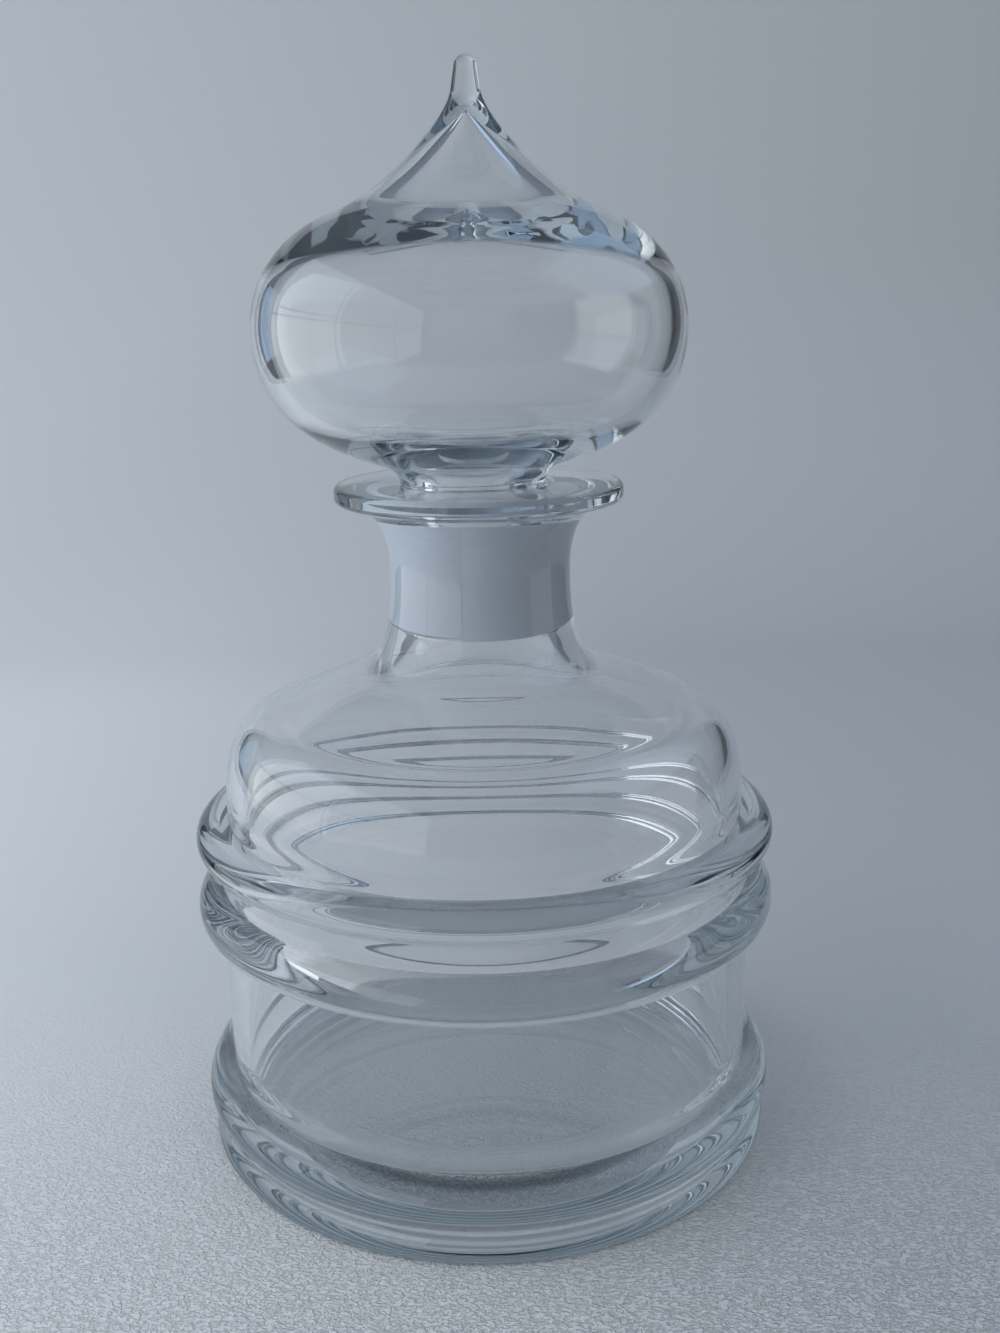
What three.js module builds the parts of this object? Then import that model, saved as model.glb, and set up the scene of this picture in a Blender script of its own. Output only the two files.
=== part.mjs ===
// Stoppered glass decanter: a ringed bottle and a hollow onion stopper with a ground tapered joint.
// Millimetres, +Z up, origin on the table under the middle of the bottle.
import * as THREE from "three";

// Foot and base of the bottle
const bodyRadius = 58.5;
const bodyWall = 3.8;
const baseThickness = 5;
const puntHeight = 2.5;
const bearingWidth = 7;
const footProjection = 4.6;
const footHeight = 6.6;
const footEdge = 1.5;
const grooveProjection = 1.5;
const cornerReach = 4;
const cornerRise = 8.4;

// Bead, waist and rings
const beadSection = 5.6;
const waistHeight = 32.3;
const lowerRingSection = 5.3;
const ringGap = 6.1;
const upperRingProjection = 5;
const upperRingHalfHeight = 4;
const beadHollow = 1.8;
const lowerRingHollow = 1.3;
const upperRingHollow = 1.3;
const hollowReach = 7.5;

// Dome, neck and lip
const domeSetback = 2;
const domeWall = 3.3;
const domeSideHeight = 5;
const shoulderReach = 10;
const shoulderRise = 18.1;
const roofRise = 7.5;
const roofAngle = 16;
const neckRadius = 19.3;
const neckWall = 4.7;
const neckFootReach = 8.3;
const neckFootRise = 21.3;
const neckFlareRise = 15.1;
const lipProjection = 11.3;
const lipThickness = 3.7;
const mouthEdge = 0.8;

// Ground joint
const plugDepth = 31.4;
const jointTaper = 0.05;
const jointClearance = 0.2;
const plugWall = 5;
const plugEdge = 0.8;

// Onion of the stopper
const shankReach = 10.8;
const shankRise = 6.6;
const undersideAngle = 23;
const bulbRadius = 44.7;
const bulbLowerRise = 25.4;
const bulbUpperRise = 22.9;
const bulbShoulderReach = 17.5;
const bulbShoulderAngle = 19;
const ogeeRise = 22.8;
const nubRadius = 2.3;
const nubFlare = 0.7;
const nubAngle = 100;
const nubHeight = 6.6;
const tipThickness = 11.5;
const bulbWall = 3.2;
const undersideWall = 4.4;
const hollowFloorAngle = 16;
const coneReach = 21;
const coneDrop = 20.5;
const ceilingAngle = 20;
const headOffset = 1.2;

// Fineness of the round surfaces
const turnSteps = 40;
const roundSteps = 6;
const edgeSteps = 2;
const sweepSteps = 5;

// Heights that stack up from the table
const beadZ = footHeight + Math.sqrt(beadSection ** 2 - grooveProjection ** 2);
const lowerRingZ = beadZ + beadSection + waistHeight + lowerRingSection;
const upperRingZ = lowerRingZ + lowerRingSection + ringGap + upperRingHalfHeight;
const domeZ = upperRingZ + upperRingHalfHeight;
const shoulderZ = domeZ + domeSideHeight;
const roofZ = shoulderZ + shoulderRise;
const neckFootZ = roofZ + roofRise;
const neckWaistZ = neckFootZ + neckFootRise;
const lipUnderZ = neckWaistZ + neckFlareRise;
const lipTopZ = lipUnderZ + lipThickness;

// Radius of the ground seat in the neck at a height; the neck's wall is measured at its waist.
function boreRadius(z) {
  return neckRadius - neckWall + jointTaper * (z - neckWaistZ);
}

function to(points, r, z) {
  points.push(new THREE.Vector2(r, z));
}

// A round about (r, z), with its own reach along each axis, from one angle to another.
function round(points, r, z, reachR, reachZ, from, end, steps) {
  for (let i = 0; i <= steps; i++) {
    const angle = THREE.MathUtils.degToRad(from + ((end - from) * i) / steps);
    to(points, r + reachR * Math.cos(angle), z + reachZ * Math.sin(angle));
  }
}

// A smooth sweep from the last point to (r, z), leaving at one angle and arriving at another.
// leave and arrive are handle lengths as shares of the chord.
function sweep(points, leaveAngle, leave, r, z, arriveAngle, arrive) {
  const start = points[points.length - 1];
  const end = new THREE.Vector2(r, z);
  const chord = start.distanceTo(end);
  const handle = (degrees, share) => {
    const angle = THREE.MathUtils.degToRad(degrees);
    return new THREE.Vector2(Math.cos(angle), Math.sin(angle)).multiplyScalar(share * chord);
  };
  const leaving = start.clone().add(handle(leaveAngle, leave));
  const arriving = end.clone().sub(handle(arriveAngle, arrive));
  const curve = new THREE.CubicBezierCurve(start, leaving, arriving, end);
  points.push(...curve.getPoints(sweepSteps).slice(1));
}

// A solid turned about +Z from a profile of radius and height.
function turned(profile) {
  const distinct = profile.filter((p, i) => i === 0 || p.distanceTo(profile[i - 1]) > 0.01);
  return new THREE.LatheGeometry(distinct, turnSteps).rotateX(Math.PI / 2);
}

function bottleProfile() {
  const points = [];
  const footRadius = bodyRadius + footProjection;
  const grooveRadius = bodyRadius + grooveProjection;
  const bearingOuter = footRadius - footEdge;
  const bearingInner = bearingOuter - bearingWidth;

  // Underside: a shallow punt inside the flat ring that the bottle stands on
  to(points, 0, puntHeight);
  sweep(points, 0, 0.4, bearingInner, 0, -8, 0.2);
  to(points, bearingOuter, 0);

  // Foot, groove and foot bead
  const footDepth = footRadius - grooveRadius;
  const beadStart = THREE.MathUtils.radToDeg(Math.acos(grooveProjection / beadSection));
  round(points, bearingOuter, footEdge, footEdge, footEdge, -90, 0, edgeSteps);
  round(points, grooveRadius, footEdge, footDepth, footHeight - footEdge, 0, 90, edgeSteps + 1);
  round(points, bodyRadius, beadZ, beadSection, beadSection, -beadStart, 90, roundSteps);

  // Straight waist, lower ring, gap and upper ring
  round(points, bodyRadius, lowerRingZ, lowerRingSection, lowerRingSection, -90, 90, roundSteps);
  round(points, bodyRadius, upperRingZ, upperRingProjection, upperRingHalfHeight, -90, 90, roundSteps);

  // Dome: an upright side, a round shoulder and a sloping roof
  const domeRadius = bodyRadius - domeSetback;
  const roofRadius = domeRadius - shoulderReach;
  const neckFootRadius = neckRadius + neckFootReach;
  const roofRun = 180 - roofAngle;
  to(points, domeRadius, domeZ);
  to(points, domeRadius, shoulderZ);
  sweep(points, 90, 0.42, roofRadius, roofZ, roofRun, 0.37);
  sweep(points, roofRun, 0.3, neckFootRadius, neckFootZ, roofRun, 0.3);

  // Waisted neck that flares out under a flat lip with a round edge
  const lipEdge = lipThickness / 2;
  const lipEdgeRadius = neckRadius + lipProjection - lipEdge;
  sweep(points, roofRun, 0.31, neckRadius, neckWaistZ, 90, 0.49);
  sweep(points, 90, 0.46, lipEdgeRadius, lipUnderZ, 3, 0.42);
  round(points, lipEdgeRadius, lipUnderZ + lipEdge, lipEdge, lipEdge, -90, 90, 2 * edgeSteps);

  // Mouth and ground seat
  const seatEndZ = lipTopZ - plugDepth;
  const mouthRadius = boreRadius(lipTopZ - mouthEdge);
  round(points, mouthRadius + mouthEdge, lipTopZ - mouthEdge, mouthEdge, mouthEdge, 90, 180, edgeSteps);
  to(points, boreRadius(seatEndZ), seatEndZ);

  // Inside: level with the roof and shoulder, swelling a little into both rings
  const lean = THREE.MathUtils.degToRad(roofAngle);
  const inset = domeWall * Math.sin(lean);
  const drop = domeWall * Math.cos(lean);
  const innerDome = domeRadius - domeWall;
  const innerBody = bodyRadius - bodyWall;
  sweep(points, -60, 0.21, neckFootRadius - inset, neckFootZ - drop, -roofAngle, 0.52);
  sweep(points, -roofAngle, 0.3, roofRadius - inset, roofZ - drop, -roofAngle, 0.3);
  sweep(points, -roofAngle, 0.37, innerDome, shoulderZ, -90, 0.42);
  sweep(points, -90, 0.5, innerDome + upperRingHollow, upperRingZ, -90, 0.5);
  sweep(points, -90, 0.5, innerBody, (upperRingZ + lowerRingZ) / 2, -90, 0.5);
  sweep(points, -90, 0.5, innerBody + lowerRingHollow, lowerRingZ, -90, 0.5);
  sweep(points, -90, 0.5, innerBody, lowerRingZ - hollowReach, -90, 0.5);

  // Inside of the waist, then out into the bead and round to the floor
  const floorZ = puntHeight + baseThickness;
  const cornerZ = floorZ + cornerRise;
  const cornerRadius = innerBody + beadHollow - cornerReach;
  to(points, innerBody, cornerZ + hollowReach);
  sweep(points, -90, 0.5, innerBody + beadHollow, cornerZ, -90, 0.5);
  round(points, cornerRadius, cornerZ, cornerReach, cornerRise, 0, -90, roundSteps);
  to(points, 0, floorZ);
  return points;
}

// The stopper's heights are measured from the lip's top, where its plug ends and its shank begins.
function stopperProfile() {
  const shankRadius = boreRadius(lipTopZ) - jointClearance;
  const plugEndRadius = boreRadius(lipTopZ - plugDepth) - jointClearance;
  const hollowRadius = plugEndRadius - plugWall;
  const undersideRadius = shankRadius + shankReach;
  const equatorZ = shankRise + bulbLowerRise;
  const shoulderTopZ = equatorZ + bulbUpperRise;
  const shoulderRadius = bulbRadius - bulbShoulderReach;
  const shoulderRun = 180 - bulbShoulderAngle;
  const nubZ = shoulderTopZ + ogeeRise;
  const tipZ = nubZ + nubHeight;

  // Plug end, ground taper, shank, oblate bulb, ogee and solid nub
  const outside = [];
  to(outside, hollowRadius, -plugDepth);
  round(outside, plugEndRadius - plugEdge, plugEdge - plugDepth, plugEdge, plugEdge, -90, 0, edgeSteps);
  to(outside, shankRadius, 0);
  sweep(outside, 88, 0.3, undersideRadius, shankRise, undersideAngle, 0.45);
  sweep(outside, undersideAngle, 0.32, bulbRadius, equatorZ, 90, 0.47);
  sweep(outside, 90, 0.38, shoulderRadius, shoulderTopZ, shoulderRun, 0.36);
  sweep(outside, shoulderRun, 0.3, nubRadius + nubFlare, nubZ, nubAngle, 0.18);
  to(outside, nubRadius, tipZ - nubRadius);
  round(outside, 0, tipZ - nubRadius, nubRadius, nubRadius, 0, 90, 2 * edgeSteps);

  // Hollow: a floor and ceiling flatter than the outside, and a sharp cone under the nub
  const apexZ = tipZ - tipThickness;
  const ceilingRun = 180 - ceilingAngle;
  const inside = [];
  to(inside, hollowRadius, -plugDepth);
  to(inside, hollowRadius, 0);
  sweep(inside, 90, 0.3, undersideRadius, shankRise + undersideWall, hollowFloorAngle, 0.44);
  sweep(inside, hollowFloorAngle, 0.37, bulbRadius - bulbWall, equatorZ, 90, 0.41);
  sweep(inside, 90, 0.49, coneReach, apexZ - coneDrop, ceilingRun, 0.36);
  sweep(inside, ceilingRun, 0.27, 0, apexZ, 121, 0.29);
  return inside.reverse().concat(outside.slice(1));
}

// A free-blown head sits a little to one side of its plug: the shift grows along the shank.
function shiftHead(geometry) {
  const position = geometry.getAttribute("position");
  for (let i = 0; i < position.count; i++) {
    const share = THREE.MathUtils.smoothstep(position.getZ(i), 0, shankRise);
    position.setX(i, position.getX(i) - headOffset * share);
  }
  return geometry;
}

const glass = new THREE.MeshStandardMaterial({
  color: 0xdfe8ea,
  roughness: 0.03,
  metalness: 0,
  transparent: true,
  opacity: 0.35,
});

const bottle = new THREE.Mesh(turned(bottleProfile()), glass);
bottle.name = "bottle";

const stopper = new THREE.Mesh(shiftHead(turned(stopperProfile())), glass.clone());
stopper.name = "stopper";
stopper.position.z = lipTopZ;

const decanter = new THREE.Group();
decanter.add(bottle, stopper);

export default decanter;
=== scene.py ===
import math

import bpy
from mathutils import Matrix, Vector
from mathutils.geometry import interpolate_bezier


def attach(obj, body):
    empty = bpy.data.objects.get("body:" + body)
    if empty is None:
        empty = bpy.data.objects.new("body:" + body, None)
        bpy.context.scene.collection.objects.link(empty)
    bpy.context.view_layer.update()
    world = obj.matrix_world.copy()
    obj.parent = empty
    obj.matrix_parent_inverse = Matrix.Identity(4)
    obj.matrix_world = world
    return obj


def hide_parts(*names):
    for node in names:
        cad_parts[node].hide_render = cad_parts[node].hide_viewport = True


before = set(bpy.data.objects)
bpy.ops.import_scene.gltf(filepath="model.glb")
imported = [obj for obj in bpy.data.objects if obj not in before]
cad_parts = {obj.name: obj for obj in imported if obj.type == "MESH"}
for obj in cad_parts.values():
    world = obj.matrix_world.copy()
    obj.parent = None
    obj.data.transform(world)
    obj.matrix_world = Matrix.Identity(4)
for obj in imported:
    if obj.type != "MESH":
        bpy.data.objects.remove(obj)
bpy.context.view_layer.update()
scene = bpy.context.scene
scene.view_settings.view_transform = "Standard"
scene.cycles.max_bounces = 28            # light crosses many glass faces
scene.cycles.transmission_bounces = 28
scene.cycles.glossy_bounces = 16
scene.cycles.diffuse_bounces = 6
scene.cycles.transparent_max_bounces = 32


# Profile drawing: a vertex is pushed out step by step in the XZ plane, then spun about Z

pen = {"r": 0.0, "z": 0.0}               # where the last vertex of the profile is
fineness = {
    "turn": 180, "round": 26, "edge": 12, "sweep": 26,      # steps round the axis and along the profile
    "seedPlane": 0.002, "shortestStep": 0.00002, "merge": 0.000006,
    "crease": 35,                                           # creases beside the rings stay sharp
}


def startProfile(name, r, z):
    bpy.ops.object.select_all(action="DESELECT")
    bpy.ops.mesh.primitive_plane_add(size=fineness["seedPlane"], location=(0, 0, 0))
    piece = bpy.context.object
    piece.name = name
    piece.data.name = name
    bpy.ops.object.mode_set(mode="EDIT")
    bpy.ops.mesh.select_all(action="SELECT")
    bpy.ops.mesh.merge(type="CENTER")    # the plane shrinks to one vertex
    bpy.ops.transform.translate(value=(r, 0, z))
    pen.update(r=r, z=z)
    return piece


def drawTo(r, z):
    step = Vector((r - pen["r"], 0, z - pen["z"]))
    if step.length < fineness["shortestStep"]:
        return
    bpy.ops.mesh.extrude_vertices_move(TRANSFORM_OT_translate={"value": step})
    pen.update(r=r, z=z)


# part of an ellipse about (r, z)
def drawRound(r, z, reachR, reachZ, startAngle, endAngle, steps):
    for i in range(steps + 1):
        angle = math.radians(startAngle + (endAngle - startAngle) * i / steps)
        drawTo(r + reachR * math.cos(angle), z + reachZ * math.sin(angle))


def heading(angle):
    return Vector((math.cos(math.radians(angle)), math.sin(math.radians(angle))))


# a sweep that leaves and arrives at given angles, with its two handles as shares of the chord
def drawSweep(leaveAngle, r, z, arriveAngle, handles):
    begin, end = Vector((pen["r"], pen["z"])), Vector((r, z))
    chord = (end - begin).length
    handleA = begin + heading(leaveAngle) * handles[0] * chord
    handleB = end - heading(arriveAngle) * handles[1] * chord
    for point in interpolate_bezier(begin, handleA, handleB, end, fineness["sweep"] + 1)[1:]:
        drawTo(point[0], point[1])


def spinProfile(piece):
    bpy.ops.mesh.select_all(action="SELECT")
    bpy.ops.mesh.spin(steps=fineness["turn"], angle=2 * math.pi, center=(0, 0, 0), axis=(0, 0, 1))
    bpy.ops.mesh.select_all(action="SELECT")
    bpy.ops.mesh.remove_doubles(threshold=fineness["merge"])
    bpy.ops.mesh.normals_make_consistent(inside=False)
    bpy.ops.object.mode_set(mode="OBJECT")
    bpy.ops.object.shade_smooth_by_angle(angle=math.radians(fineness["crease"]))
    return piece


# Bottle

bottleSizes = {
    "bodyRadius": 0.0585, "bodyWall": 0.0038,
    "baseThickness": 0.005, "puntHeight": 0.0025, "bearingWidth": 0.007,
    "footProjection": 0.0046, "footHeight": 0.0066, "footEdge": 0.0015,
    "grooveProjection": 0.0015, "cornerReach": 0.004, "cornerRise": 0.0084, "beadSection": 0.0056,
    "waistHeight": 0.0323, "lowerRingSection": 0.0053, "ringGap": 0.0061,
    "upperRingProjection": 0.005, "upperRingHalfHeight": 0.004,
    "beadHollow": 0.0018, "lowerRingHollow": 0.0013, "upperRingHollow": 0.0013, "hollowReach": 0.0075,
    "domeSetback": 0.002, "domeWall": 0.0033, "domeSideHeight": 0.005,
    "shoulderReach": 0.010, "shoulderRise": 0.0181, "roofRise": 0.0075, "roofAngle": 16,
    "neckRadius": 0.0193, "neckWall": 0.0047, "neckFootReach": 0.0083, "neckFootRise": 0.0213,
    "neckFlareRise": 0.0151, "lipProjection": 0.0113, "lipThickness": 0.0037,
    "lipEdge": 0.0012, "mouthEdge": 0.0008,
    "plugDepth": 0.0314, "jointTaper": 0.05,
    # handles of the sweeps, and the angles that some of them end or start with
    "puntCurve": (0.4, 0.2), "puntEndAngle": -8, "shoulderCurve": (0.42, 0.37), "roofCurve": (0.3, 0.3),
    "neckCurve": (0.31, 0.49), "flareCurve": (0.46, 0.42), "flareEndAngle": 3,
    "innerNeckAngle": -60, "innerNeckCurve": (0.21, 0.52), "hollowCurve": (0.5, 0.5),
}
b = bottleSizes
beadZ = b["footHeight"] + math.sqrt(b["beadSection"] ** 2 - b["grooveProjection"] ** 2)
lowerRingZ = beadZ + b["beadSection"] + b["waistHeight"] + b["lowerRingSection"]
upperRingZ = lowerRingZ + b["lowerRingSection"] + b["ringGap"] + b["upperRingHalfHeight"]
domeZ = upperRingZ + b["upperRingHalfHeight"]
shoulderZ = domeZ + b["domeSideHeight"]
roofZ = shoulderZ + b["shoulderRise"]
neckFootZ = roofZ + b["roofRise"]
neckWaistZ = neckFootZ + b["neckFootRise"]
lipUnderZ = neckWaistZ + b["neckFlareRise"]
lipTopZ = lipUnderZ + b["lipThickness"]
seatEndZ = lipTopZ - b["plugDepth"]


def boreRadius(z):
    return b["neckRadius"] - b["neckWall"] + b["jointTaper"] * (z - neckWaistZ)


def makeBottle():
    rounds, edges = fineness["round"], fineness["edge"]
    body = b["bodyRadius"]
    foot, groove = body + b["footProjection"], body + b["grooveProjection"]
    bearingOuter = foot - b["footEdge"]
    dome = body - b["domeSetback"]
    roof = dome - b["shoulderReach"]
    neckFoot = b["neckRadius"] + b["neckFootReach"]
    roofRun = 180 - b["roofAngle"]
    lipEdge = b["lipEdge"]
    lipEdgeRadius = b["neckRadius"] + b["lipProjection"] - lipEdge

    piece = startProfile("bottle_glass", 0, b["puntHeight"])
    drawSweep(0, bearingOuter - b["bearingWidth"], 0, b["puntEndAngle"], b["puntCurve"])
    drawTo(bearingOuter, 0)                                                 # ring it stands on
    drawRound(bearingOuter, b["footEdge"], b["footEdge"], b["footEdge"], -90, 0, edges)
    drawRound(groove, b["footEdge"], foot - groove, b["footHeight"] - b["footEdge"], 0, 90, edges)
    beadStart = math.degrees(math.acos(b["grooveProjection"] / b["beadSection"]))
    drawRound(body, beadZ, b["beadSection"], b["beadSection"], -beadStart, 90, rounds)
    drawRound(body, lowerRingZ, b["lowerRingSection"], b["lowerRingSection"], -90, 90, rounds)
    drawRound(body, upperRingZ, b["upperRingProjection"], b["upperRingHalfHeight"], -90, 90, rounds)
    drawTo(dome, domeZ)
    drawTo(dome, shoulderZ)
    drawSweep(90, roof, roofZ, roofRun, b["shoulderCurve"])
    drawSweep(roofRun, neckFoot, neckFootZ, roofRun, b["roofCurve"])
    drawSweep(roofRun, b["neckRadius"], neckWaistZ, 90, b["neckCurve"])
    drawSweep(90, lipEdgeRadius, lipUnderZ, b["flareEndAngle"], b["flareCurve"])
    drawRound(lipEdgeRadius, lipUnderZ + lipEdge, lipEdge, lipEdge, -90, 0, edges)
    drawRound(lipEdgeRadius, lipTopZ - lipEdge, lipEdge, lipEdge, 0, 90, edges)
    mouthZ = lipTopZ - b["mouthEdge"]
    drawRound(boreRadius(mouthZ) + b["mouthEdge"], mouthZ, b["mouthEdge"], b["mouthEdge"], 90, 180, edges)
    drawTo(boreRadius(lipUnderZ), lipUnderZ)
    drawTo(boreRadius(seatEndZ), seatEndZ)                                  # ground seat

    # inside, the roof and shoulder run level with the outside and the wall swells into the rings
    innerDome, innerBody = dome - b["domeWall"], body - b["bodyWall"]
    innerBead = innerBody + b["beadHollow"]
    floorZ = b["puntHeight"] + b["baseThickness"]
    cornerZ = floorZ + b["cornerRise"]
    lean = math.radians(b["roofAngle"])
    inset, drop = b["domeWall"] * math.sin(lean), b["domeWall"] * math.cos(lean)
    innerShoulderCurve = b["shoulderCurve"][::-1]
    drawSweep(b["innerNeckAngle"], neckFoot - inset, neckFootZ - drop, -b["roofAngle"], b["innerNeckCurve"])
    drawSweep(-b["roofAngle"], roof - inset, roofZ - drop, -b["roofAngle"], b["roofCurve"])
    drawSweep(-b["roofAngle"], innerDome, shoulderZ, -90, innerShoulderCurve)
    drawSweep(-90, innerDome + b["upperRingHollow"], upperRingZ, -90, b["hollowCurve"])
    drawSweep(-90, innerBody, (upperRingZ + lowerRingZ) / 2, -90, b["hollowCurve"])
    drawSweep(-90, innerBody + b["lowerRingHollow"], lowerRingZ, -90, b["hollowCurve"])
    drawSweep(-90, innerBody, lowerRingZ - b["hollowReach"], -90, b["hollowCurve"])
    drawTo(innerBody, cornerZ + b["hollowReach"])
    drawSweep(-90, innerBead, cornerZ, -90, b["hollowCurve"])
    drawRound(innerBead - b["cornerReach"], cornerZ, b["cornerReach"], b["cornerRise"], 0, -90, rounds)
    drawTo(0, floorZ)
    return spinProfile(piece)


bottle = makeBottle()
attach(bottle, "bottle")
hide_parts("bottle")
print("bottle:", len(bottle.data.polygons), "faces")


# Stopper

stopperSizes = {
    "jointClearance": 0.0002, "plugWall": 0.005, "plugEdge": 0.0008,
    "shankReach": 0.0108, "shankRise": 0.0066, "shankAngle": 88, "undersideAngle": 23,
    "bulbRadius": 0.0447, "bulbLowerRise": 0.0254, "bulbUpperRise": 0.0229,
    "bulbShoulderReach": 0.0175, "bulbShoulderAngle": 19, "ogeeRise": 0.0228,
    "nubRadius": 0.0023, "nubFlare": 0.0007, "nubAngle": 100, "nubHeight": 0.0066,
    "tipThickness": 0.0115, "bulbWall": 0.0032,
    "coneReach": 0.021, "coneDrop": 0.0205, "coneAngle": -59, "ceilingAngle": 20,
    "undersideWall": 0.0044, "floorAngle": 16, "headOffset": 0.0012,
    # handles of the sweeps
    "coneCurve": (0.29, 0.27), "ceilingCurve": (0.36, 0.49), "floorCurve": (0.41, 0.37),
    "throatCurve": (0.44, 0.3), "shankCurve": (0.3, 0.45), "bulbLowerCurve": (0.32, 0.47),
    "bulbUpperCurve": (0.38, 0.36), "ogeeCurve": (0.3, 0.18),
}


def makeStopper():
    s = stopperSizes
    edges = fineness["edge"]
    shank = boreRadius(lipTopZ) - s["jointClearance"]
    plugEnd = boreRadius(seatEndZ) - s["jointClearance"]
    hollow = plugEnd - s["plugWall"]
    underside = shank + s["shankReach"]
    undersideZ = lipTopZ + s["shankRise"]
    equatorZ = undersideZ + s["bulbLowerRise"]
    shoulderTopZ = equatorZ + s["bulbUpperRise"]
    shoulder = s["bulbRadius"] - s["bulbShoulderReach"]
    shoulderRun = 180 - s["bulbShoulderAngle"]
    nub = s["nubRadius"]
    nubZ = shoulderTopZ + s["ogeeRise"]
    tipZ = nubZ + s["nubHeight"]
    apexZ = tipZ - s["tipThickness"]
    hollowFloor = 180 + s["floorAngle"]

    # inside, from the cone under the nub down through the plug
    piece = startProfile("stopper_glass", 0, apexZ)
    drawSweep(s["coneAngle"], s["coneReach"], apexZ - s["coneDrop"], -s["ceilingAngle"], s["coneCurve"])
    drawSweep(-s["ceilingAngle"], s["bulbRadius"] - s["bulbWall"], equatorZ, -90, s["ceilingCurve"])
    drawSweep(-90, underside, undersideZ + s["undersideWall"], hollowFloor, s["floorCurve"])
    drawSweep(hollowFloor, hollow, lipTopZ, -90, s["throatCurve"])
    drawTo(hollow, seatEndZ)
    # outside, from the plug's end up to the tip
    plugEdge = s["plugEdge"]
    drawRound(plugEnd - plugEdge, seatEndZ + plugEdge, plugEdge, plugEdge, -90, 0, edges)
    drawTo(boreRadius(lipUnderZ) - s["jointClearance"], lipUnderZ)
    drawTo(shank, lipTopZ)
    drawSweep(s["shankAngle"], underside, undersideZ, s["undersideAngle"], s["shankCurve"])
    drawSweep(s["undersideAngle"], s["bulbRadius"], equatorZ, 90, s["bulbLowerCurve"])
    drawSweep(90, shoulder, shoulderTopZ, shoulderRun, s["bulbUpperCurve"])
    drawSweep(shoulderRun, nub + s["nubFlare"], nubZ, s["nubAngle"], s["ogeeCurve"])
    drawTo(nub, tipZ - nub)
    drawRound(0, tipZ - nub, nub, nub, 0, 90, 2 * edges)
    spinProfile(piece)

    # the blown head sits a little to one side of its plug
    for v in piece.data.vertices:
        v.select = v.co.z > undersideZ
    bpy.ops.object.mode_set(mode="EDIT")
    bpy.ops.transform.translate(value=(-s["headOffset"], 0, 0), use_proportional_edit=True,
                                proportional_edit_falloff="SMOOTH", proportional_size=s["shankRise"])
    bpy.ops.object.mode_set(mode="OBJECT")
    return piece


stopper = makeStopper()
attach(stopper, "stopper")
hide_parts("stopper")
print("stopper:", len(stopper.data.polygons), "faces")


# Nodes: each helper adds one node, feeds it and hands back its output

def feed(tree, value, socket):
    if isinstance(value, bpy.types.NodeSocket):
        tree.links.new(value, socket)
    else:
        socket.default_value = value


def addRange(tree, value, fromEnds, toEnds=(0, 1), smooth=False):
    node = tree.nodes.new("ShaderNodeMapRange")
    node.interpolation_type = "SMOOTHSTEP" if smooth else "LINEAR"
    node.inputs["From Min"].default_value, node.inputs["From Max"].default_value = fromEnds
    node.inputs["To Min"].default_value, node.inputs["To Max"].default_value = toEnds
    feed(tree, value, node.inputs["Value"])
    return node.outputs["Result"]


def addMath(tree, operation, first, second):
    node = tree.nodes.new("ShaderNodeMath")
    node.operation = operation
    feed(tree, first, node.inputs[0])
    feed(tree, second, node.inputs[1])
    return node.outputs[0]


def addColourMix(tree, factor, first, second):
    node = tree.nodes.new("ShaderNodeMix")
    node.data_type = "RGBA"
    feed(tree, factor, node.inputs["Factor"])
    feed(tree, first, node.inputs[6])        # the colour sockets A and B
    feed(tree, second, node.inputs[7])
    return node.outputs[2]


def addLength(tree, vector):
    node = tree.nodes.new("ShaderNodeVectorMath")
    node.operation = "LENGTH"
    feed(tree, vector, node.inputs[0])
    return node.outputs["Value"]


def addNoise(tree, vector, detail, scale=1.0, twist=0.0):
    node = tree.nodes.new("ShaderNodeTexNoise")
    node.inputs["Detail"].default_value = detail
    node.inputs["Distortion"].default_value = twist
    feed(tree, vector, node.inputs["Vector"])
    feed(tree, scale, node.inputs["Scale"])
    return node.outputs["Fac"]


def addBump(tree, height, distance, strength=1.0):
    node = tree.nodes.new("ShaderNodeBump")
    node.inputs["Distance"].default_value = distance
    feed(tree, strength, node.inputs["Strength"])
    feed(tree, height, node.inputs["Height"])
    return node.outputs["Normal"]


def addStretch(tree, vector, scale, turn=(0, 0, 0)):
    node = tree.nodes.new("ShaderNodeMapping")
    node.inputs["Scale"].default_value = scale
    node.inputs["Rotation"].default_value = turn
    feed(tree, vector, node.inputs["Vector"])
    return node.outputs["Vector"]


def newMaterial(name):
    material = bpy.data.materials.new(name)
    material.use_nodes = True
    tree = material.node_tree
    place = tree.nodes.new("ShaderNodeTexCoord").outputs["Object"]
    return material, tree, tree.nodes["Principled BSDF"], place


# Glass

glassFinish = {
    "ior": 1.5, "tint": (1.0, 1.0, 1.0, 1), "polish": 0.0,
    "waveSize": 38.0, "waveDetail": 1.0, "waveHeight": 0.00006,
    "body": (0.16, 0.36, 0.44, 1), "bodyDensity": 6.0,
    # light that one face passes on to dull surfaces, and the radii between which it drops
    "thinShade": (0.985, 0.99, 0.99, 1), "thickShade": (0.47, 0.49, 0.50, 1), "thickFrom": (0.0575, 0.0595),
}
groundFinish = {
    "pale": (0.61, 0.66, 0.73, 1), "worn": (0.55, 0.61, 0.69, 1), "clarity": 0.2, "softness": (0.5, 0.68),
    "ringScale": (240, 240, 2400), "ringDetail": 3.0, "ringHeight": 0.00001,
    "seatDepth": 0.003, "plugEdge": 0.0007, "plugDepth": 0.002,      # how far the ground faces are picked
}


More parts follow.
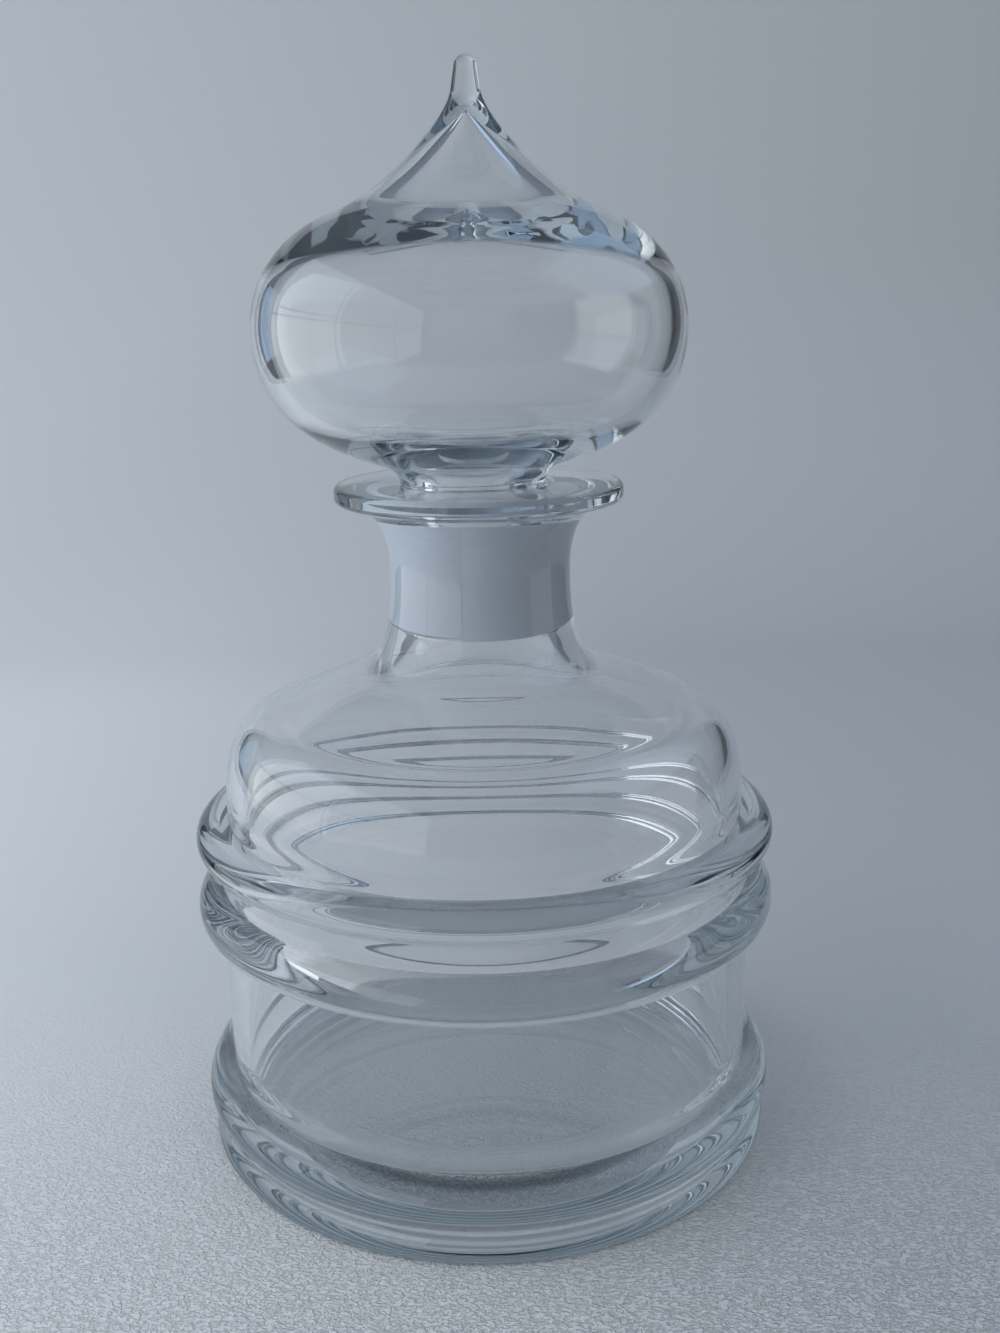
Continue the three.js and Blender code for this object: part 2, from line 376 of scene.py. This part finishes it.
# slow waves of glass that was blown by hand
def blownWavesGroup():
    group = bpy.data.node_groups.new("blownWaves", "ShaderNodeTree")
    group.interface.new_socket("Scale", in_out="INPUT", socket_type="NodeSocketFloat")
    group.interface.new_socket("Height", in_out="OUTPUT", socket_type="NodeSocketFloat")
    entry, leave = group.nodes.new("NodeGroupInput"), group.nodes.new("NodeGroupOutput")
    place = group.nodes.new("ShaderNodeTexCoord").outputs["Object"]
    waves = addNoise(group, place, glassFinish["waveDetail"], entry.outputs["Scale"])
    group.links.new(waves, leave.inputs["Height"])
    return group


blownWaves = blownWavesGroup()


def makeClearGlass(name):
    g = glassFinish
    material, tree, shader, place = newMaterial(name)
    shader.inputs["Base Color"].default_value = g["tint"]
    shader.inputs["Roughness"].default_value = g["polish"]
    shader.inputs["IOR"].default_value = g["ior"]
    shader.inputs["Transmission Weight"].default_value = 1.0
    waves = tree.nodes.new("ShaderNodeGroup")
    waves.node_tree = blownWaves
    waves.inputs["Scale"].default_value = g["waveSize"]
    tree.links.new(addBump(tree, waves.outputs["Height"], g["waveHeight"]), shader.inputs["Normal"])
    # light on its way to a dull surface goes straight through, less of it in the solid rings and foot
    level = tree.nodes.new("ShaderNodeVectorMath")
    level.operation = "MULTIPLY"
    level.inputs[1].default_value = (1, 1, 0)
    tree.links.new(place, level.inputs[0])
    thick = addRange(tree, addLength(tree, level.outputs[0]), g["thickFrom"])
    through = tree.nodes.new("ShaderNodeBsdfTransparent")
    tree.links.new(addColourMix(tree, thick, g["thinShade"], g["thickShade"]), through.inputs["Color"])
    rays = tree.nodes.new("ShaderNodeLightPath")
    surface = shader.outputs["BSDF"]
    for ray in ("Is Shadow Ray", "Is Diffuse Ray"):
        choose = tree.nodes.new("ShaderNodeMixShader")
        tree.links.new(rays.outputs[ray], choose.inputs[0])
        tree.links.new(surface, choose.inputs[1])
        tree.links.new(through.outputs[0], choose.inputs[2])
        surface = choose.outputs[0]
    tree.links.new(surface, tree.nodes["Material Output"].inputs["Surface"])
    body = tree.nodes.new("ShaderNodeVolumeAbsorption")       # long ways through the glass turn blue-grey
    body.inputs["Color"].default_value = g["body"]
    body.inputs["Density"].default_value = g["bodyDensity"]
    tree.links.new(body.outputs["Volume"], tree.nodes["Material Output"].inputs["Volume"])
    return material


# faces of the tapered joint, ground dull in fine rings
def makeGroundGlass(name):
    g = groundFinish
    material, tree, shader, place = newMaterial(name)
    shader.inputs["IOR"].default_value = glassFinish["ior"]
    shader.inputs["Transmission Weight"].default_value = g["clarity"]
    rings = addNoise(tree, addStretch(tree, place, g["ringScale"]), g["ringDetail"])
    tree.links.new(addColourMix(tree, rings, g["pale"], g["worn"]), shader.inputs["Base Color"])
    tree.links.new(addRange(tree, rings, (0, 1), g["softness"]), shader.inputs["Roughness"])
    tree.links.new(addBump(tree, rings, g["ringHeight"]), shader.inputs["Normal"])
    return material


# the second slot goes on faces between two heights and two radii
def dressGlass(piece, clear, ground, low, high, inner, outer):
    piece.data.materials.append(clear)
    piece.data.materials.append(ground)
    for face in piece.data.polygons:
        radius = Vector((face.center.x, face.center.y)).length
        if low < face.center.z < high and inner < radius < outer:
            face.material_index = 1


groundGlass = makeGroundGlass("groundGlass")
bottleGlass = makeClearGlass("bottleGlass")
stopperGlass = makeClearGlass("stopperGlass")
dressGlass(bottle, bottleGlass, groundGlass, seatEndZ, lipUnderZ,
           0, b["neckRadius"] - groundFinish["seatDepth"])
dressGlass(stopper, stopperGlass, groundGlass, seatEndZ + groundFinish["plugEdge"], lipUnderZ,
           boreRadius(seatEndZ) - groundFinish["plugDepth"], b["neckRadius"])
print("glass made")


# Stage: a pale sheet that runs up behind

stageSizes = {
    "left": -0.42, "right": 0.42, "front": -0.4, "back": 0.62, "height": 0.5,
    "bend": 0.2, "bendSteps": 24, "pickReach": 0.01, "gap": 0.0002,          # the gap is air under the foot
    "colour": (0.83, 0.85, 0.865, 1), "pit": (0.72, 0.745, 0.77, 1), "far": (0.672, 0.70, 0.725, 1),
    "roughness": 0.6, "gloss": 0.2,
    "grainScale": (900, 1500, 1200), "grainTurn": (0, 0, 0.5), "grainDetail": 2.0, "grainTwist": 0.8,
    "pebbleEnds": (0.3, 0.6), "grainHeight": 0.0004, "grainFade": (-0.09, 0.1),
    # painted light: the sheet's glow, lighter towards the window and none under the foot
    "paintedGlow": (0.90, 0.95, 1.0, 1), "glowLevels": (0.17, 0.0),
    "glowAcross": (-0.22, 0.12), "glowAlong": (0.66, 0.3), "glowRadius": (0.06, 0.064),
    # painted shade: glass sees the table in front of the foot darkened towards black
    "nearFade": (-0.052, -0.077), "nearShade": 0.4, "paintedShadeColour": (0, 0, 0, 1),
}


def makeSheet():
    t = stageSizes
    width, depth = t["right"] - t["left"], t["back"] - t["front"]
    middle = ((t["right"] + t["left"]) / 2, (t["back"] + t["front"]) / 2, -t["gap"])
    backLine = t["back"] - t["pickReach"]
    bpy.ops.object.select_all(action="DESELECT")
    bpy.ops.mesh.primitive_plane_add(size=2, location=(0, 0, 0))
    sheet = bpy.context.object
    sheet.name = "paleSheet"
    bpy.ops.object.mode_set(mode="EDIT")
    bpy.ops.mesh.select_all(action="SELECT")
    bpy.ops.transform.resize(value=(width / 2, depth / 2, 1))
    bpy.ops.transform.translate(value=middle)
    bpy.ops.mesh.select_all(action="DESELECT")
    bpy.ops.object.mode_set(mode="OBJECT")
    for e in sheet.data.edges:
        e.select = all(sheet.data.vertices[i].co.y > backLine for i in e.vertices)
    for v in sheet.data.vertices:
        v.select = v.co.y > backLine
    bpy.ops.object.mode_set(mode="EDIT")
    bpy.ops.mesh.select_mode(type="EDGE")
    bpy.ops.mesh.extrude_region_move(TRANSFORM_OT_translate={"value": (0, 0, t["height"])})
    bpy.ops.mesh.select_all(action="DESELECT")
    bpy.ops.object.mode_set(mode="OBJECT")
    for e in sheet.data.edges:
        ends = [sheet.data.vertices[i].co for i in e.vertices]
        e.select = all(p.y > backLine and p.z < t["pickReach"] for p in ends)
    bpy.ops.object.mode_set(mode="EDIT")
    bpy.ops.mesh.bevel(offset=t["bend"], segments=t["bendSteps"], affect="EDGES")
    bpy.ops.object.mode_set(mode="OBJECT")
    bpy.ops.object.shade_smooth()
    return sheet


def makeSheetMaterial():
    t = stageSizes
    material, tree, shader, place = newMaterial("paleSheet")
    shader.inputs["Roughness"].default_value = t["roughness"]
    shader.inputs["Specular IOR Level"].default_value = t["gloss"]
    shader.inputs["Emission Color"].default_value = t["paintedGlow"]
    split = tree.nodes.new("ShaderNodeSeparateXYZ")
    tree.links.new(place, split.inputs[0])
    across, along = split.outputs["X"], split.outputs["Y"]
    rays = tree.nodes.new("ShaderNodeLightPath")
    # pale pebbles between darker wrinkles, and further back the sheet is smooth and even
    grainPlace = addStretch(tree, place, t["grainScale"], t["grainTurn"])
    grain = addNoise(tree, grainPlace, t["grainDetail"], twist=t["grainTwist"])
    pebble = addRange(tree, grain, t["pebbleEnds"], smooth=True)
    closeness = addRange(tree, along, t["grainFade"], (1, 0), smooth=True)
    grained = addColourMix(tree, pebble, t["pit"], t["colour"])
    tone = addColourMix(tree, closeness, t["far"], grained)
    tree.links.new(addBump(tree, pebble, t["grainHeight"], closeness), shader.inputs["Normal"])
    # painted light: rays that look at the sheet see it glow, lighter towards the window; none under the
    # foot, so the shadow there stays
    toWindow = addRange(tree, across, t["glowAcross"], t["glowLevels"], smooth=True)
    onTable = addRange(tree, along, t["glowAlong"], smooth=True)
    outside = addRange(tree, addLength(tree, place), t["glowRadius"])
    looking = addMath(tree, "SUBTRACT", 1.0, rays.outputs["Is Diffuse Ray"])
    paintedGlow = addMath(tree, "MULTIPLY", addMath(tree, "MULTIPLY", toWindow, onTable), outside)
    paintedGlow = addMath(tree, "MULTIPLY", paintedGlow, looking)
    tree.links.new(paintedGlow, shader.inputs["Emission Strength"])
    # painted shade: rays through the glass see the table in front of the foot darkened towards black
    near = addRange(tree, along, t["nearFade"], (0, t["nearShade"]), smooth=True)
    throughGlass = addMath(tree, "SUBTRACT", looking, rays.outputs["Is Camera Ray"])
    shade = addMath(tree, "MULTIPLY", near, throughGlass)
    tree.links.new(addColourMix(tree, shade, tone, t["paintedShadeColour"]), shader.inputs["Base Color"])
    return material


sheet = makeSheet()
sheet.data.materials.append(makeSheetMaterial())
print("stage made")


# Light: a wide window on the left, cool sky from the upper right, a dim room

windowSizes = {
    "centre": (-0.85, -0.73, 0.3), "facing": (1, 0, -0.05), "paneWidth": 0.8, "paneHeight": 0.6,
    "mullion": 0.02, "columns": 3, "level": 1.3, "shadeFrom": -0.4,
    "lowColour": (0.97, 0.99, 1.0), "highColour": (0.80, 0.90, 1.0),
}
skyBlue = (0.52, 0.72, 1.0)
# centre, width and height, brightness, colour, and the rays that pass the panel by
panelSizes = {
    "skyPanel": ((0.75, 0.1, 0.85), (1.1, 0.8), 0.55, skyBlue, ("diffuse",)),
    "skyDoor": ((-0.9, 0.82, 0.2), (0.42, 0.5), 0.42, skyBlue, ("diffuse",)),
    "paleWall": ((1.1, -0.15, 0.05), (0.7, 0.7), 0.6, (1.0, 0.97, 0.94), ("diffuse", "transmission")),
    "farWall": ((0, -1.2, 0.25), (1.1, 0.8), 0.17, windowSizes["lowColour"], ("diffuse", "glossy")),
    "sideWall": ((1.3, -0.1, 0.25), (1.1, 0.8), 0.17, windowSizes["lowColour"], ("diffuse", "glossy")),
    "windowLight": ((-0.7, -0.15, 0.5), (1.1, 0.6), 1.05, windowSizes["lowColour"],
                    ("glossy", "transmission")),
    "roomFill": ((0.9, -0.8, 0.9), (1.4, 1.4), 0.62, (1.0, 0.98, 0.95), ("glossy", "transmission")),
}
roomShades = {
    "aim": (0, 0, 0.1), "room": (0.05, 0.057, 0.066, 1), "overhead": (0.17, 0.205, 0.26, 1),
    "overheadFade": (0.1, 0.7), "surround": (0.17, 0.18, 0.195, 1), "windowSide": (0.74, 0.79, 0.83, 1),
    "windowFade": (-0.2, -0.8),
}


def addPanel(name, centre, size, level, colour, passedBy=()):
    aim = Vector(roomShades["aim"]) - Vector(centre)
    turn = aim.to_track_quat("-Z", "Y").to_euler()
    bpy.ops.object.light_add(type="AREA", location=centre, rotation=turn)
    lamp = bpy.context.object
    lamp.name = name
    lamp.data.shape = "RECTANGLE"
    lamp.data.size, lamp.data.size_y = size
    lamp.data.energy = level * math.pi * size[0] * size[1]    # level is the brightness of the panel
    lamp.data.color = colour
    lamp.visible_camera = False
    lamp.visible_diffuse = "diffuse" not in passedBy
    lamp.visible_glossy = "glossy" not in passedBy
    lamp.visible_transmission = "transmission" not in passedBy
    return lamp


def makeWindow():
    w = windowSizes
    facing = Vector(w["facing"]).to_track_quat("-Z", "Y")
    across, upward = facing @ Vector((1, 0, 0)), facing @ Vector((0, 1, 0))
    paneSize = (w["paneWidth"], w["paneHeight"])
    for column in range(w["columns"]):
        for row, colour in ((-1, w["lowColour"]), (1, w["highColour"])):
            sideways = (column - (w["columns"] - 1) / 2) * (w["paneWidth"] + w["mullion"])
            raised = row * (w["paneHeight"] + w["mullion"]) / 2
            place = Vector(w["centre"]) + across * sideways + upward * raised
            pane = addPanel("windowPane", place, paneSize, w["level"], colour)
            pane.rotation_euler = facing.to_euler()
            pane.visible_transmission = place.y > w["shadeFrom"]   # shaded towards the front


def makeRoom():
    r = roomShades
    world = bpy.data.worlds.new("room")
    scene.world = world
    world.use_nodes = True
    tree = world.node_tree
    rays = tree.nodes.new("ShaderNodeLightPath")
    place = tree.nodes.new("ShaderNodeTexCoord")
    split = tree.nodes.new("ShaderNodeSeparateXYZ")
    tree.links.new(place.outputs["Generated"], split.inputs[0])
    # the camera sees the room lighter on the window's side, the glass sees it dim and paler overhead
    toWindow = addRange(tree, split.outputs["X"], r["windowFade"])
    upward = addRange(tree, split.outputs["Z"], r["overheadFade"])
    walls = addColourMix(tree, toWindow, r["surround"], r["windowSide"])
    dim = addColourMix(tree, upward, r["room"], r["overhead"])
    shade = addColourMix(tree, rays.outputs["Is Camera Ray"], dim, walls)
    tree.links.new(shade, tree.nodes["Background"].inputs["Color"])


makeWindow()
for panelName, panel in panelSizes.items():
    addPanel(panelName, *panel)
makeRoom()
print("lights made")


# Camera

cameraSizes = {
    "location": (0, -0.31527, 0.18875), "turn": (75.074, 0.851, -0.943),
    "lens": 40.35, "sensor": 36, "nearest": 0.01,
}
cameraTurn = [math.radians(a) for a in cameraSizes["turn"]]
bpy.ops.object.camera_add(location=cameraSizes["location"], rotation=cameraTurn)
camera = bpy.context.object
camera.data.lens = cameraSizes["lens"]
camera.data.sensor_width = cameraSizes["sensor"]
camera.data.clip_start = cameraSizes["nearest"]
scene.camera = camera
print("camera made")
